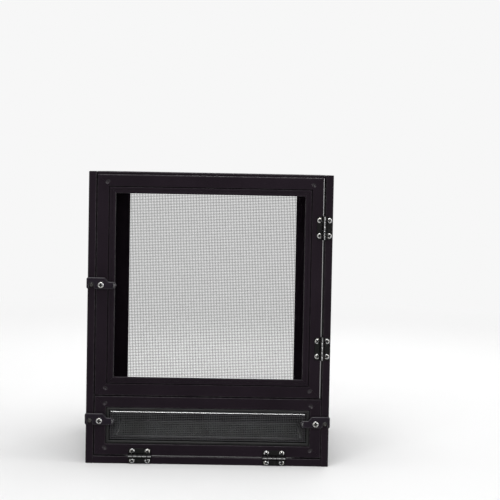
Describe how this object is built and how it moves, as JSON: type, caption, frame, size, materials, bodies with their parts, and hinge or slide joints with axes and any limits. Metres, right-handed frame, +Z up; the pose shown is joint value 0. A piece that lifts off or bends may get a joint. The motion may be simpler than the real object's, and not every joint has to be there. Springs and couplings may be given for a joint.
{
  "type": "mesh reptile cage",
  "caption": "Upright screened cage on a black aluminium frame with a clear hinged front door and a narrow fold-down lower door, held by turn latches.",
  "frame": {"origin": "middle of the outline on the surface that the cage stands on", "axes": "+Z up, +X to the right seen from the front, -Y towards the front door"},
  "size_m": [0.256, 0.2594, 0.305],
  "materials": {
    "black_anodised_rail": "satin black anodised extrusion",
    "woven_screen": "dark anodised woven wire",
    "floor_plastic": "matt black sheet",
    "black_vinyl": "soft black vinyl",
    "clear_vinyl": "cloudy clear vinyl",
    "clear_acrylic": "clear polished acrylic",
    "key_nylon": "moulded nylon",
    "latch_plastic": "satin black moulded plastic",
    "black_hinge": "black coated steel",
    "black_screw": "black oxide",
    "bright_screw": "bright zinc plated"
  },
  "bodies": {
    "cage": {"left_front_post": "black_anodised_rail", "left_rear_post": "black_anodised_rail", "left_top_rail": "black_anodised_rail", "left_bottom_rail": "black_anodised_rail", "right_front_post": "black_anodised_rail", "right_rear_post": "black_anodised_rail", "right_top_rail": "black_anodised_rail", "right_bottom_rail": "black_anodised_rail", "back_left_post": "black_anodised_rail", "back_right_post": "black_anodised_rail", "back_top_rail": "black_anodised_rail", "back_bottom_rail": "black_anodised_rail", "top_front_rail": "black_anodised_rail", "top_rear_rail": "black_anodised_rail", "top_left_rail": "black_anodised_rail", "top_right_rail": "black_anodised_rail", "bottom_front_rail": "black_anodised_rail", "bottom_rear_rail": "black_anodised_rail", "bottom_left_rail": "black_anodised_rail", "bottom_right_rail": "black_anodised_rail", "left_screen": "woven_screen", "right_screen": "woven_screen", "back_screen": "woven_screen", "top_screen": "woven_screen", "floor_sheet": "floor_plastic", "floor_bead": "black_vinyl", "screen_splines": "black_vinyl", "frame_corner_keys": "key_nylon", "panel_screws": "black_screw", "latch_keepers": "black_screw", "upper_hinge_post_leaf": "black_hinge", "lower_hinge_post_leaf": "black_hinge", "flap_hinge_base_leaves": "black_hinge", "hinge_pins": "black_hinge", "frame_hinge_screws": "bright_screw"},
    "front_door": {"door_left_stile": "black_anodised_rail", "door_right_stile": "black_anodised_rail", "door_top_rail": "black_anodised_rail", "door_bottom_rail": "black_anodised_rail", "door_pane": "clear_acrylic", "door_glazing_bead": "clear_vinyl", "door_corner_keys": "key_nylon", "door_corner_screws": "bright_screw", "upper_hinge_door_leaf": "black_hinge", "lower_hinge_door_leaf": "black_hinge", "door_hinge_screws": "bright_screw", "door_latch_screw": "bright_screw"},
    "door_latch_lever": {"door_latch": "latch_plastic"},
    "lower_door": {"flap_left_stile": "black_anodised_rail", "flap_right_stile": "black_anodised_rail", "flap_top_rail": "black_anodised_rail", "flap_bottom_rail": "black_anodised_rail", "flap_screen": "woven_screen", "flap_spline": "black_vinyl", "flap_corner_keys": "key_nylon", "flap_hinge_door_leaves": "black_hinge", "flap_hinge_screws": "bright_screw", "flap_latch_screws": "bright_screw"},
    "left_lower_latch": {"left_flap_latch": "latch_plastic"},
    "right_lower_latch": {"right_flap_latch": "latch_plastic"}
  },
  "joints": [
    {"name": "front_door_hinge", "type": "hinge", "parent": "cage", "child": "front_door", "pos_m": [0.1182, -0.12665, 0.187], "axis": [0, 0, 1], "range_deg": [0, 150]},
    {"name": "door_latch_turn", "type": "hinge", "parent": "front_door", "child": "door_latch_lever", "pos_m": [-0.113, -0.12425, 0.187], "axis": [0, 1, 0], "range_deg": [0, 90]},
    {"name": "lower_door_hinge", "type": "hinge", "parent": "cage", "child": "lower_door", "pos_m": [0, -0.12665, 0.0085], "axis": [1, 0, 0], "range_deg": [0, 90]},
    {"name": "left_lower_latch_turn", "type": "hinge", "parent": "lower_door", "child": "left_lower_latch", "pos_m": [-0.113, -0.12425, 0.045], "axis": [0, 1, 0], "range_deg": [0, 90]},
    {"name": "right_lower_latch_turn", "type": "hinge", "parent": "lower_door", "child": "right_lower_latch", "pos_m": [0.113, -0.12425, 0.045], "axis": [0, -1, 0], "range_deg": [0, 90]}
  ]
}
